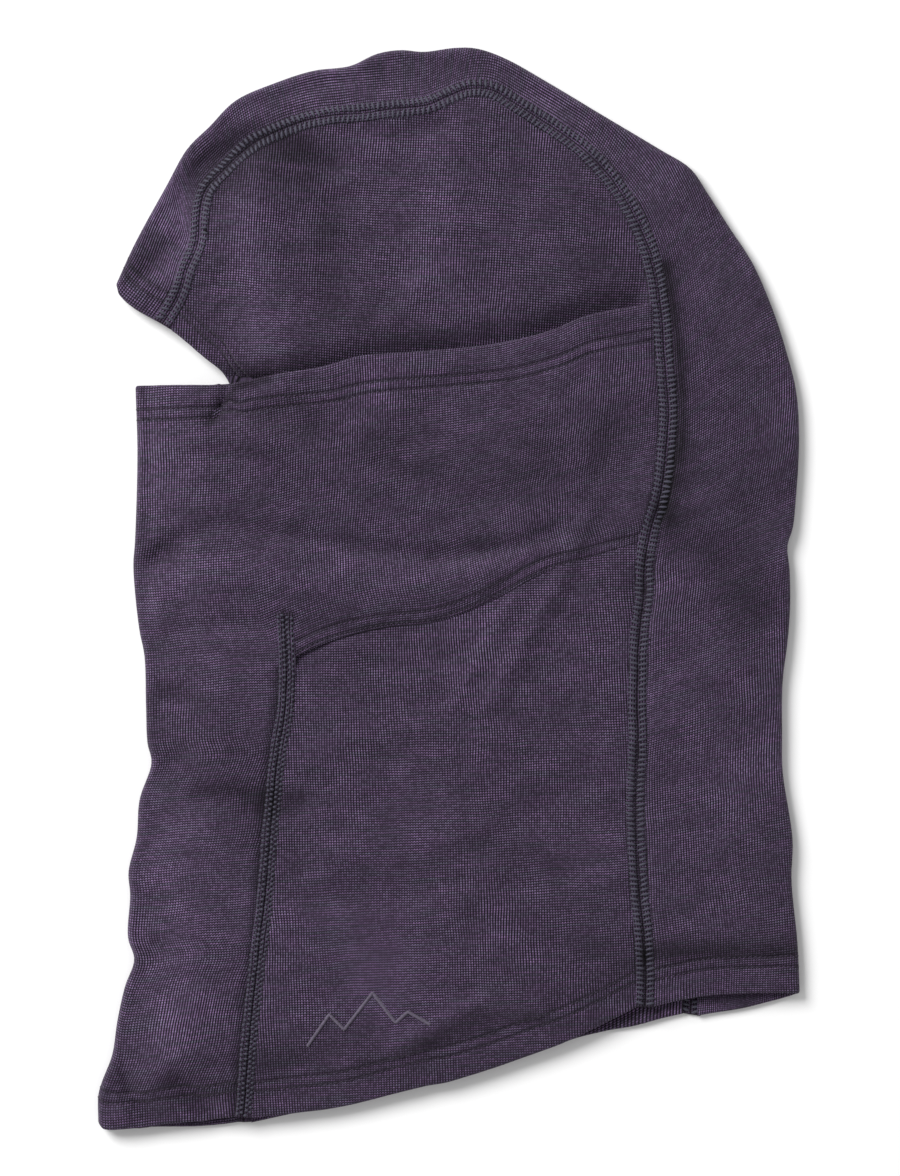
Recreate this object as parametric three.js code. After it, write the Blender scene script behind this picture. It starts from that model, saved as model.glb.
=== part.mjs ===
// A thin knitted balaclava with a pull-down face mask, folded flat along its centre line and lying on its
// right side. +Z is up from the table, +Y runs from the neck to the crown, and the face looks towards -X.
// Two halves of cloth lie over each other: the left half on top, the right half on the table. They are one
// tube, joined by a centre strip that folds round the crown and nape, and by a front panel that folds round
// the nose, mouth and throat. All lengths are in millimetres.
import * as THREE from "three";

// Driving dimensions
const garmentWidth = 260; // brow to back of the head
const garmentHeight = 400; // crown to the front of the neck hem
const cloth = 1.2; // thickness of the knit
const loft = 12; // height of the upper hood and neck cloth above the table
const foldReach = 7; // how far in from its edge a fold takes to lie flat
const seamWidth = 6.4; // four-needle flatlock seam
const seamDepth = 2; // thickness of the flatlock, threads included
const seamProud = 0.6; // how far a flatlock stands above the cloth
const gap = 0.3; // clearance between pieces that touch
const threadDepth = 0.4; // thickness of a twin-needle stitch band
const threadWidth = 4.4; // width of a twin-needle stitch band
const maskGap = 1; // room between the mask and the hood inside it
const tableLift = threadDepth + gap + 0.1; // a stitched edge lies this far above the table
const rimFront = 19; // depth of the mask's stiff rim at the nose
const rimRear = 6; // depth of the same rim at the ear
const stitchInset = 9; // from an edge to the middle of its stitch band
const chinLap = 4; // how far the mask's cloth runs past the chin stitching

// The pattern was drawn at this size and is stretched to the garment's own.
const patternWidth = 260;
const patternHeight = 400;

const backFold = [
  [-123, 112.7], [-104.5, 149], [-88.6, 170.8], [-64.2, 187], [-36.4, 193.5], [-17.6, 199], [5, 199.8],
  [20.5, 196.3], [56, 175.6], [89.7, 155.2], [103.8, 133.8], [120.4, 102.3], [128.9, 72.3], [129.9, 54.6],
  [127.5, 21.6], [126.4, 0], [123.6, -45], [123.8, -68], [127.5, -93.4], [127.5, -112], [130, -149.3],
];
const frontFold = [
  [-116, 73.8], [-115.4, 50], [-116.6, 12], [-112.7, -25.3], [-111.4, -60], [-115.6, -92.7],
  [-118.6, -115], [-122.7, -160.4], [-129.6, -186], [-129.8, -197.8],
];
const crownSeam = [
  [-103.8, 101.2], [-96.8, 117.1], [-89.7, 146.7], [-73.1, 163.7], [-47.2, 173.7], [-15, 177.5],
  [7.2, 184.3], [25.3, 178.5], [50.1, 161.7], [67.9, 138.9], [78.8, 97.1], [81, 62], [77.5, 31.3],
  [72.3, 3], [69.6, -44.2], [69, -84], [71.8, -126.7], [72.7, -153.4],
];
const throatSeam = [
  [-59.6, -28], [-60.2, -44.2], [-65.7, -89.4], [-71, -142.6], [-75.8, -195.3],
];
const faceEdge = [
  [-123, 112.7], [-116.4, 104.5], [-103, 96.6], [-90.8, 86.4], [-80.3, 75], [-70, 52], [-63, 20], [-57, -8],
  [-53.6, -27.8],
];
const maskEdge = [
  [-116, 73.8], [-80.3, 76], [-47.2, 82], [-7.6, 89], [40.1, 98.2], [76, 108.6],
];
const chinLine = [
  [-55, -28.5], [-36.4, -18.7], [1.3, -9.8], [38.3, 8.1], [72, 18.5],
];
const neckHem = [
  [-129.8, -197.8], [-102.3, -199], [-56.8, -193.8], [-9.1, -184], [28.7, -173.3], [62, -159.1],
  [90, -150.8], [130, -149.3],
];

// The mask swings about this line through the two ear points, where its edge is sewn into the crown seams.
const earPoint = [74.5, 104.5];

// ---- curves in plan, each a function of 0 to 1 ----

function curve(points) {
  const spots = points.map(
    ([x, y]) => new THREE.Vector3((x * garmentWidth) / patternWidth, (y * garmentHeight) / patternHeight, 0),
  );
  const path = new THREE.CatmullRomCurve3(spots, false, "centripetal");
  path.arcLengthDivisions = 600;
  return (t) => path.getPointAt(THREE.MathUtils.clamp(t, 0, 1));
}

const stretchOf = (path, from, to) => (t) => path(from + (to - from) * t);

// Moves a curve sideways: to its left where distance is positive.
function offset(path, distance) {
  const step = 0.004;
  return (t) => {
    const along = path(Math.min(t + step, 1)).sub(path(Math.max(t - step, 0))).normalize();
    return path(t).add(new THREE.Vector3(-along.y, along.x, 0).multiplyScalar(distance));
  };
}

// Slides a curve's ends to two given points and carries the rest along.
function pinned(path, start, end) {
  const startMove = start.clone().sub(path(0));
  const endMove = end.clone().sub(path(1));
  return (t) => path(t).addScaledVector(startMove, 1 - t).addScaledVector(endMove, t);
}

// The place on a curve nearest to a point, as 0 to 1.
function nearest(path, point) {
  let best = 0;
  const steps = 2000;
  for (let i = 0; i <= steps; i++) {
    if (path(i / steps).distanceTo(point) < path(best).distanceTo(point)) best = i / steps;
  }
  return best;
}

function lengthOf(path) {
  let total = 0;
  const steps = 100;
  for (let i = 0; i < steps; i++) total += path(i / steps).distanceTo(path((i + 1) / steps));
  return total;
}

// A four-sided patch filled smoothly between its edges. Left and right run the same way, as do top and bottom.
function patch({ left, right, top, bottom }) {
  const upper = pinned(top ?? straight, left(0), right(0));
  const lower = pinned(bottom ?? straight, left(1), right(1));
  const corners = [left(0), right(0), left(1), right(1)];
  return (s, v) => {
    const point = new THREE.Vector3();
    point.addScaledVector(upper(s), 1 - v).addScaledVector(lower(s), v);
    point.addScaledVector(left(v), 1 - s).addScaledVector(right(v), s);
    point.addScaledVector(corners[0], -(1 - s) * (1 - v)).addScaledVector(corners[1], -s * (1 - v));
    return point.addScaledVector(corners[2], -(1 - s) * v).addScaledVector(corners[3], -s * v);
  };
}
const straight = (t) => new THREE.Vector3(t, 0, 0);

// ---- heights ----

const ramp = (value, from, to) => THREE.MathUtils.smoothstep((value - from) / (to - from), 0, 1);
const bump = (value, centre, reach) => Math.max(0, 1 - ((value - centre) / reach) ** 2) ** 2;

const back = curve(backFold);
const front = curve(frontFold);
const crown = curve(crownSeam);
const throat = curve(throatSeam);
const face = curve(faceEdge);
const maskTop = curve(maskEdge);
const chin = curve(chinLine);
const hem = curve(neckHem);
const ear = curve([earPoint, earPoint.map((value) => value + 1)])(0);

const hemSpots = Array.from({ length: 80 }, (_, i) => hem(i / 79));
const faceSpots = Array.from({ length: 60 }, (_, i) => face(i / 59));
const distanceTo = (spots, p) => Math.min(...spots.map((spot) => Math.hypot(spot.x - p.x, spot.y - p.y)));

// The lower half of the hood rides over the mask's lower half, and its stitched edges clear the table.
const underMask = tableLift + cloth + threadDepth + 2 * gap;
function shellBottom(p) {
  const overMask = ramp(p.x, ear.x + 34, ear.x + 14) * ramp(p.y, -100, -72) * ramp(p.y, ear.y + 26, ear.y + 14);
  const atEdge = Math.max(
    1 - ramp(distanceTo(hemSpots, p), 2 * stitchInset, 3 * stitchInset),
    1 - ramp(distanceTo(faceSpots, p), 2 * stitchInset, 3 * stitchInset),
  );
  return Math.max(underMask * overMask, tableLift * atEdge);
}
const shellTop = () => loft;
const maskTopHeight = () => loft + maskGap + cloth;
const maskBottom = () => tableLift;

// The right half isn't quite under the left one: at the nape its hem shows below, and its seam lies further back.
function toRightHalf(p) {
  const aboveHem = distanceTo(hemSpots, p);
  const drop = 8 * bump(p.x, 96, 34) + 3 * bump(p.x, -85, 35);
  const slip = 15 * bump(p.x, 73, 50);
  return new THREE.Vector3(p.x + slip * ramp(aboveHem, 130, 0), p.y - drop * ramp(aboveHem, 70, 0), 0);
}

// ---- solids ----

// Joins two grids of points, the outside and the inside of a piece, into one closed solid.
function closedSolid(outside, inside, isRing = false) {
  const rows = outside.length;
  const columns = outside[0].length;
  const positions = [...outside.flat(), ...inside.flat()].flatMap((p) => [p.x, p.y, p.z]);
  const faces = [];
  const quad = (a, b, c, d) => faces.push(a, b, c, a, c, d);
  const at = (row, column, side) => side * rows * columns + row * columns + (column % columns);
  const spans = isRing ? columns : columns - 1;
  for (let r = 0; r < rows - 1; r++) {
    for (let c = 0; c < spans; c++) {
      quad(at(r, c, 0), at(r, c + 1, 0), at(r + 1, c + 1, 0), at(r + 1, c, 0));
      quad(at(r + 1, c, 1), at(r + 1, c + 1, 1), at(r, c + 1, 1), at(r, c, 1));
    }
  }
  for (let c = 0; c < spans; c++) {
    quad(at(0, c + 1, 0), at(0, c, 0), at(0, c, 1), at(0, c + 1, 1));
    quad(at(rows - 1, c, 0), at(rows - 1, c + 1, 0), at(rows - 1, c + 1, 1), at(rows - 1, c, 1));
  }
  for (let r = 0; r < rows - 1 && !isRing; r++) {
    quad(at(r, 0, 0), at(r + 1, 0, 0), at(r + 1, 0, 1), at(r, 0, 1));
    quad(at(r + 1, columns - 1, 0), at(r, columns - 1, 0), at(r, columns - 1, 1), at(r + 1, columns - 1, 1));
  }
  const geometry = new THREE.BufferGeometry();
  geometry.setAttribute("position", new THREE.Float32BufferAttribute(positions, 3));
  geometry.setIndex(signedVolume(positions, faces) < 0 ? faces.reverse() : faces);
  geometry.computeVertexNormals();
  return geometry;
}

function signedVolume(positions, faces) {
  const corner = (i) => new THREE.Vector3().fromArray(positions, 3 * faces[i]);
  let sum = 0;
  for (let i = 0; i < faces.length; i += 3) sum += corner(i).dot(corner(i + 1).cross(corner(i + 2)));
  return sum;
}

// One flat layer of cloth over a plan, from low(p) to high(p).
function flatCloth(plan, rows, columns, low, high, place = (p) => p) {
  const grid = (height) =>
    Array.from({ length: rows + 1 }, (_, r) =>
      Array.from({ length: columns + 1 }, (_, c) => {
        const p = place(plan(c / columns, r / rows));
        return p.setZ(height(p));
      }),
    );
  return closedSolid(grid(high), grid(low));
}

const foldAngles = [90, 62, 31, 0, -31, -62, -90].map(THREE.MathUtils.degToRad);

// Points round the fold at one end of a plan, from the upper layer to the lower, sunk into the cloth by depth.
function foldRound(edge, inwards, depth, high, low) {
  const middle = (high(edge) + low(edge)) / 2;
  return foldAngles.map((angle) => {
    const reach = depth + (foldReach - depth) * (1 - Math.cos(angle));
    const point = edge.clone().addScaledVector(inwards, reach);
    const half = (angle > 0 ? high(point) - middle : middle - low(point)) - depth;
    return point.setZ(middle + half * Math.sin(angle));
  });
}

// Points of one layer from just inside the fold to the far edge.
function layer(plan, v, columns, side, near, far = 1) {
  return Array.from({ length: columns }, (_, c) => {
    const point = plan(near + ((far - near) * (c + 1)) / columns, v);
    return side(point);
  });
}

// Cloth, or a band on it, that wraps round a fold at s = 0 and runs back on both halves to s = 1.
function foldedCloth(plan, rows, columns, high, low, outer = 0, inner = cloth) {
  const grid = (depth) =>
    Array.from({ length: rows + 1 }, (_, r) => {
      const v = r / rows;
      const edge = plan(0, v);
      const width = edge.distanceTo(plan(1, v));
      const inwards = plan(foldReach / width, v).sub(edge).normalize();
      const near = foldReach / width;
      const upper = layer(plan, v, columns, (p) => p.setZ(high(p) - depth), near);
      const lower = layer(plan, v, columns, (p) => raise(toRightHalf(p), low, depth), near);
      return [...upper.reverse(), ...foldRound(edge, inwards, depth, high, low), ...lower];
    });
  return closedSolid(grid(outer), grid(inner));
}
const raise = (p, low, depth) => p.setZ(low(p) + depth);

// A stitch band that runs right round the neck: over the front fold, the left half, the back fold and the right.
function stitchRing(plan, columns, high, low) {
  const grid = (depth) =>
    [0, 1].map((v) => {
      const edges = [plan(0, v), plan(1, v)];
      const near = foldReach / edges[0].distanceTo(edges[1]);
      const inwards = [plan(near, v).sub(edges[0]).normalize(), plan(1 - near, v).sub(edges[1]).normalize()];
      const upper = layer(plan, v, columns, (p) => p.setZ(high(p) - depth), near, 1 - near);
      const lower = layer(plan, v, columns, (p) => raise(toRightHalf(p), low, depth), 1 - near, near);
      return [
        ...foldRound(edges[0], inwards[0], depth, high, low).reverse(),
        ...upper.slice(0, -1),
        ...foldRound(edges[1], inwards[1], depth, high, low),
        ...lower.slice(0, -1),
      ];
    });
  return closedSolid(grid(-gap - threadDepth), grid(-gap), true);
}

// A band of even width along a path on one half.
function band(path, width, stations, low, high, place) {
  const plan = patch({ left: offset(path, width / 2), right: offset(path, -width / 2) });
  return flatCloth(plan, stations, 1, low, high, place);
}

// ---- pieces ----

const balaclava = new THREE.Group();
const maskGroup = new THREE.Group();
balaclava.add(maskGroup);

const wool = new THREE.MeshStandardMaterial({ color: 0x453a4e, roughness: 0.95, metalness: 0 });
const thread = new THREE.MeshStandardMaterial({ color: 0x3a3a46, roughness: 0.8, metalness: 0 });
const motifThread = new THREE.MeshStandardMaterial({ color: 0x6a6074, roughness: 0.6, metalness: 0 });
const satin = new THREE.MeshStandardMaterial({ color: 0xe6e3de, roughness: 0.5, metalness: 0 });

function add(name, geometry, material, group = balaclava) {
  const mesh = new THREE.Mesh(geometry, material);
  mesh.name = name;
  group.add(mesh);
}

const seamClear = seamWidth / 2 + 2 * gap; // from a seam's middle to the cloth beside it
const crownChin = nearest(crown, chin(1));
const chinJoin = pinned(chin, offset(throat, seamClear)(0), offset(crown, -seamClear)(crownChin));
const earPlace = nearest(crown, ear);

function crownStrip() {
  const plan = patch({ left: back, right: offset(crown, seamClear) });
  return foldedCloth(plan, 64, 3, shellTop, shellBottom);
}

const halves = [
  { side: "left", place: (p) => p },
  { side: "right", place: toRightHalf },
];

// One layer of the hood and neck on the left or right half.
function shellLayer(plan, rows, columns, half) {
  const isLeft = half.side === "left";
  const low = (p) => (isLeft ? loft - cloth : shellBottom(p));
  const high = (p) => (isLeft ? loft : shellBottom(p) + cloth);
  return flatCloth(plan, rows, columns, low, high, half.place);
}

function hoodPanel(half) {
  const bottom = offset(chinJoin, gap / 2);
  const faceSide = stretchOf(face, nearest(face, crown(0)) + 0.03, 1);
  const crownSide = stretchOf(offset(crown, -seamClear), 0.01, crownChin);
  const left = pinned(faceSide, faceSide(0), bottom(0));
  const right = pinned(crownSide, crownSide(0), bottom(1));
  return shellLayer(patch({ left, right, bottom }), 44, 8, half);
}

function neckPanel(half) {
  const top = offset(chinJoin, -gap / 2);
  const throatSide = offset(throat, seamClear);
  const crownSide = stretchOf(offset(crown, -seamClear), crownChin, 1);
  const left = pinned(throatSide, top(0), throatSide(1));
  const right = pinned(crownSide, top(1), crownSide(1));
  return shellLayer(patch({ left, right, top, bottom: hemBetween(left(1), right(1)) }), 16, 8, half);
}

function hemBetween(start, end) {
  return stretchOf(hem, nearest(hem, start), nearest(hem, end));
}

const frontSplit = nearest(front, new THREE.Vector3(front(0).x, throat(0).y - 6, 0));

function throatPanel() {
  const left = stretchOf(front, frontSplit, 1);
  const right = stretchOf(offset(throat, -seamClear), 0.04, 1);
  return foldedCloth(patch({ left, right, bottom: hemBetween(left(1), right(1)) }), 14, 3, shellTop, shellBottom);
}

// Rows of the mask, from its edge down: the stiff rim turns with the mask, and the slack cloth below it folds up.
const maskRear = offset(crown, -seamClear);
const rimSplitFront = rimFront / lengthOf(front);
const rearLength = lengthOf(maskRear);
const rimSplitRear = earPlace + rimRear / rearLength;

function maskRim() {
  const left = stretchOf(front, 0, rimSplitFront);
  const right = stretchOf(maskRear, earPlace, rimSplitRear);
  return foldedCloth(patch({ left, right, top: maskTop, bottom: maskTop }), 3, 8, maskTopHeight, maskBottom);
}

function maskSlack() {
  const left = stretchOf(front, rimSplitFront + (gap + 0.1) / lengthOf(front), frontSplit - 0.002);
  const right = stretchOf(maskRear, rimSplitRear + (gap + 0.1) / rearLength, crownChin + chinLap / rearLength);
  const throatTop = throat(0);
  const lowerEdge = (t) => {
    const turn = 0.28; // share of the edge that crosses the throat, below the nose
    if (t < turn) return left(1).lerp(new THREE.Vector3(throatTop.x + 2, throatTop.y - 5, 0), t / turn);
    return pinned(offset(chin, -chinLap), new THREE.Vector3(throatTop.x + 2, throatTop.y - 5, 0), right(1))(
      (t - turn) / (1 - turn),
    );
  };
  return foldedCloth(patch({ left, right, top: maskTop, bottom: lowerEdge }), 8, 9, maskTopHeight, maskBottom);
}

function flatlock(path, stations, half) {
  const isLeft = half.side === "left";
  const low = (p) => (isLeft ? loft + seamProud - seamDepth : shellBottom(p));
  return band(path, seamWidth, stations, low, (p) => low(p) + seamDepth, half.place);
}

function bandPlan(edge, inset) {
  return patch({
    left: (v) => offset(edge, inset + threadWidth * (v - 0.5))(0),
    right: (v) => offset(edge, inset + threadWidth * (v - 0.5))(1),
    top: offset(edge, inset - threadWidth / 2),
    bottom: offset(edge, inset + threadWidth / 2),
  });
}

function maskStitching() {
  const rear = 1 - (seamClear + 1) / lengthOf(maskTop);
  const plan = bandPlan(maskTop, -stitchInset);
  const onMask = (s, v) => pinnedToFold(plan, front, s * rear, v);
  return foldedCloth(onMask, 1, 12, maskTopHeight, maskBottom, -gap - threadDepth, -gap);
}

// Starts a band's rows on a fold line, so that it wraps the fold where the cloth does.
function pinnedToFold(plan, fold, s, v) {
  const start = plan(0, v);
  const move = fold(nearest(fold, start)).sub(start);
  return plan(s, v).addScaledVector(move, Math.max(0, 1 - 6 * s));
}

function faceStitching() {
  const plan = bandPlan(face, stitchInset - 2);
  const onHood = (s, v) => pinnedToFold(plan, back, s * 0.92, v);
  return foldedCloth(onHood, 1, 18, overSeams, shellBottom, -gap - threadDepth, -gap);
}

function hemStitching() {
  const plan = bandPlan(hem, stitchInset + 2);
  const start = [0, 1].map((v) => front(nearest(front, plan(0, v))));
  const end = [0, 1].map((v) => back(nearest(back, plan(1, v))));
  const round = (s, v) => {
    const k = Math.round(v);
    const path = pinned((t) => plan(t, v), start[k], end[k]);
    return path(s);
  };
  return stitchRing(round, 36, overSeams, shellBottom);
}

// Stitch bands ride up over the flatlocks that they cross.
const seamSpots = [crown, throat].flatMap((path) => Array.from({ length: 240 }, (_, i) => path(i / 239)));
function overSeams(p) {
  return loft + seamProud * (1 - ramp(distanceTo(seamSpots, p), seamWidth, 2 * seamWidth));
}

function chinStitching(half) {
  const isLeft = half.side === "left";
  const path = stretchOf(chin, 0.02, 1 - (seamClear + 1.5) / lengthOf(chin));
  const low = () => (isLeft ? maskTopHeight() + gap : maskBottom() - gap - threadDepth);
  return band(path, threadWidth, 14, low, (p) => low(p) + threadDepth, half.place);
}

// A plain mountain-range line stitched in one thread above the front of the hem.
function motif() {
  const peaks = [
    [-52, -169], [-44, -157.5], [-38.5, -163], [-28, -149.5], [-19.5, -160.5], [-15, -156.5], [-7, -161],
  ];
  const cord = 1.4; // width of the satin-stitch line
  const spots = peaks.map(([x, y]) => curve([[x, y], [x + 1, y]])(0));
  const shape = new THREE.Shape();
  const side = (i, sign) => {
    const before = spots[Math.max(i - 1, 0)];
    const after = spots[Math.min(i + 1, spots.length - 1)];
    const along = after.clone().sub(before).normalize();
    const turn = spots[i].clone().sub(before).normalize();
    const stretch = 1 / Math.max(0.35, Math.abs(turn.dot(along)) || 1);
    return [spots[i].x - along.y * sign * (cord / 2) * stretch, spots[i].y + along.x * sign * (cord / 2) * stretch];
  };
  const outline = [...spots.keys()].map((i) => side(i, 1));
  outline.push(...[...spots.keys()].reverse().map((i) => side(i, -1)));
  outline.forEach(([x, y], i) => (i ? shape.lineTo(x, y) : shape.moveTo(x, y)));
  const geometry = new THREE.ExtrudeGeometry(shape, { depth: threadDepth, bevelEnabled: false });
  return geometry.translate(0, 0, loft + gap);
}

// A blank satin tab, folded once, sewn into the left crown seam inside the neck.
function careLabel() {
  const labelLength = 22;
  const labelWidth = 16;
  const labelDepth = 0.5;
  const root = crown(nearest(crown, new THREE.Vector3(crown(1).x, -95, 0)));
  const geometry = new THREE.BoxGeometry(labelLength, labelWidth, labelDepth);
  const x = root.x - seamClear - gap - labelLength / 2;
  return geometry.translate(x, root.y, loft - cloth - gap - labelDepth / 2);
}

add("crown_strip", crownStrip(), wool);
add("front_throat_panel", throatPanel(), wool);
for (const half of halves) {
  add(`${half.side}_hood_panel`, hoodPanel(half), wool);
  add(`${half.side}_neck_panel`, neckPanel(half), wool);
  add(`${half.side}_crown_flatlock`, flatlock(crown, 72, half), thread);
  add(`${half.side}_throat_flatlock`, flatlock(throat, 14, half), thread);
  add(`${half.side}_chin_stitching`, chinStitching(half), thread);
}
add("mask_rim", maskRim(), wool, maskGroup);
add("mask_edge_stitching", maskStitching(), thread, maskGroup);
add("mask_slack_cloth", maskSlack(), wool);
add("face_edge_stitching", faceStitching(), thread);
add("neck_hem_stitching", hemStitching(), thread);
add("embroidered_motif", motif(), motifThread);
add("care_label", careLabel(), satin);

// The frame's origin is under the middle of the whole garment.
const extent = new THREE.Box3().setFromObject(balaclava);
const middle = extent.getCenter(new THREE.Vector3());
balaclava.position.set(-middle.x, -middle.y, -extent.min.z);

export default balaclava;
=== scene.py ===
import math
from functools import partial
import bmesh
import bpy
import numpy as np
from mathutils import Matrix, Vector


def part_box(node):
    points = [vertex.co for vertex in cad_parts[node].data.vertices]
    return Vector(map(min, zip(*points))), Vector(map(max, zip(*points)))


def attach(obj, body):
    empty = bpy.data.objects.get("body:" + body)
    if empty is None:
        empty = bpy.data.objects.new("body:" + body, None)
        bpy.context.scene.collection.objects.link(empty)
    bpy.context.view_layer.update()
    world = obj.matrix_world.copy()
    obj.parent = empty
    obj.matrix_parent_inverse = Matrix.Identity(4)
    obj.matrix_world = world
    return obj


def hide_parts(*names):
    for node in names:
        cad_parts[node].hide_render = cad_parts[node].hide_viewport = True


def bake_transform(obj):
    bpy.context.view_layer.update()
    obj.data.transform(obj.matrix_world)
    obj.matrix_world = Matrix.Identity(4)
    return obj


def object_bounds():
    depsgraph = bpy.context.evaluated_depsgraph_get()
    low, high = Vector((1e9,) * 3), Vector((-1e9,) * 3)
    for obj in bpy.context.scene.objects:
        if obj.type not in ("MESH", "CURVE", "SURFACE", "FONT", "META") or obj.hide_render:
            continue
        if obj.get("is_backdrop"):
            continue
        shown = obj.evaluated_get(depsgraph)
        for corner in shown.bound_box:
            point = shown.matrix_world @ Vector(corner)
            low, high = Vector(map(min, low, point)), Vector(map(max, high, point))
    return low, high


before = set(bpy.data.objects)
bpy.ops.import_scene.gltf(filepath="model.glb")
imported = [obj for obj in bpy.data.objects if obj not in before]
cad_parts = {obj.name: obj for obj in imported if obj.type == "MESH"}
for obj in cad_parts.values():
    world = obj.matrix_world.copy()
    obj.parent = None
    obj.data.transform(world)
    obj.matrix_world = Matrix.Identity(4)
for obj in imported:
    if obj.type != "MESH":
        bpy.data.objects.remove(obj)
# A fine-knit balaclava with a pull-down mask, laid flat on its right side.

print("frame loaded")
cadLow, cadHigh = (np.array(corner) * 1000 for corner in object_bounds())  # millimetres from here on

# The pattern's own numbers, and the CAD box that they fill.
pattern = dict(low=(-130.59, -199.64), high=(130.08, 200.10))


def fromPattern(points):
    low, high = np.array(pattern["low"]), np.array(pattern["high"])
    return cadLow[:2] + (np.array(points, float) - low) / (high - low) * (cadHigh - cadLow)[:2]


# ---- curves in plan ----

def unit(v):
    return v / np.maximum(np.linalg.norm(v, axis=-1, keepdims=True), 1e-9)


def leftOf(way):
    return np.stack([-way[:, 1], way[:, 0]], 1)


def evenly(line, count, axes=None):  # axes: how many of the values are a place, where it isn't all of them
    steps = np.r_[0, np.cumsum(np.linalg.norm(np.diff(line[:, :axes], axis=0), axis=1))]
    wanted = np.linspace(0, steps[-1], count)
    return np.stack([np.interp(wanted, steps, line[:, k]) for k in range(line.shape[1])], 1)


def smoothLine(points, count=500):
    p = np.array(points, float)
    p = np.vstack([2 * p[0] - p[1], p, 2 * p[-1] - p[-2]])
    parts = []
    for a, b, c, d in zip(p, p[1:], p[2:], p[3:]):
        ta, tb = 0.0, np.linalg.norm(b - a) ** 0.5
        tc = tb + np.linalg.norm(c - b) ** 0.5
        td = tc + np.linalg.norm(d - c) ** 0.5
        t = np.linspace(tb, tc, 24)[:, None]
        ab = (tb - t) / (tb - ta) * a + (t - ta) / (tb - ta) * b
        bc = (tc - t) / (tc - tb) * b + (t - tb) / (tc - tb) * c
        cd = (td - t) / (td - tc) * c + (t - tc) / (td - tc) * d
        abc = (tc - t) / (tc - ta) * ab + (t - ta) / (tc - ta) * bc
        bcd = (td - t) / (td - tb) * bc + (t - tb) / (td - tb) * cd
        parts.append((tc - t) / (tc - tb) * abc + (t - tb) / (tc - tb) * bcd)
    return evenly(np.vstack(parts), count)


def at(line, t):
    t = np.clip(np.asarray(t, float), 0, 1) * (len(line) - 1)
    return np.stack([np.interp(t, np.arange(len(line)), line[:, k]) for k in range(line.shape[1])], -1)


def stretch(line, start, end):
    return at(line, np.linspace(start, end, len(line)))


def reach(line):
    return float(np.linalg.norm(np.diff(line, axis=0), axis=1).sum())


def beside(line, distance):  # positive is to the left of the way the line runs
    return line + distance * leftOf(unit(np.gradient(line, axis=0)))


def nearest(line, point):
    return float(np.argmin(np.linalg.norm(line - point, axis=1))) / (len(line) - 1)


def pinned(line, start, end):
    t = np.linspace(0, 1, len(line))[:, None]
    return line + (start - line[0]) * (1 - t) + (end - line[-1]) * t


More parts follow.
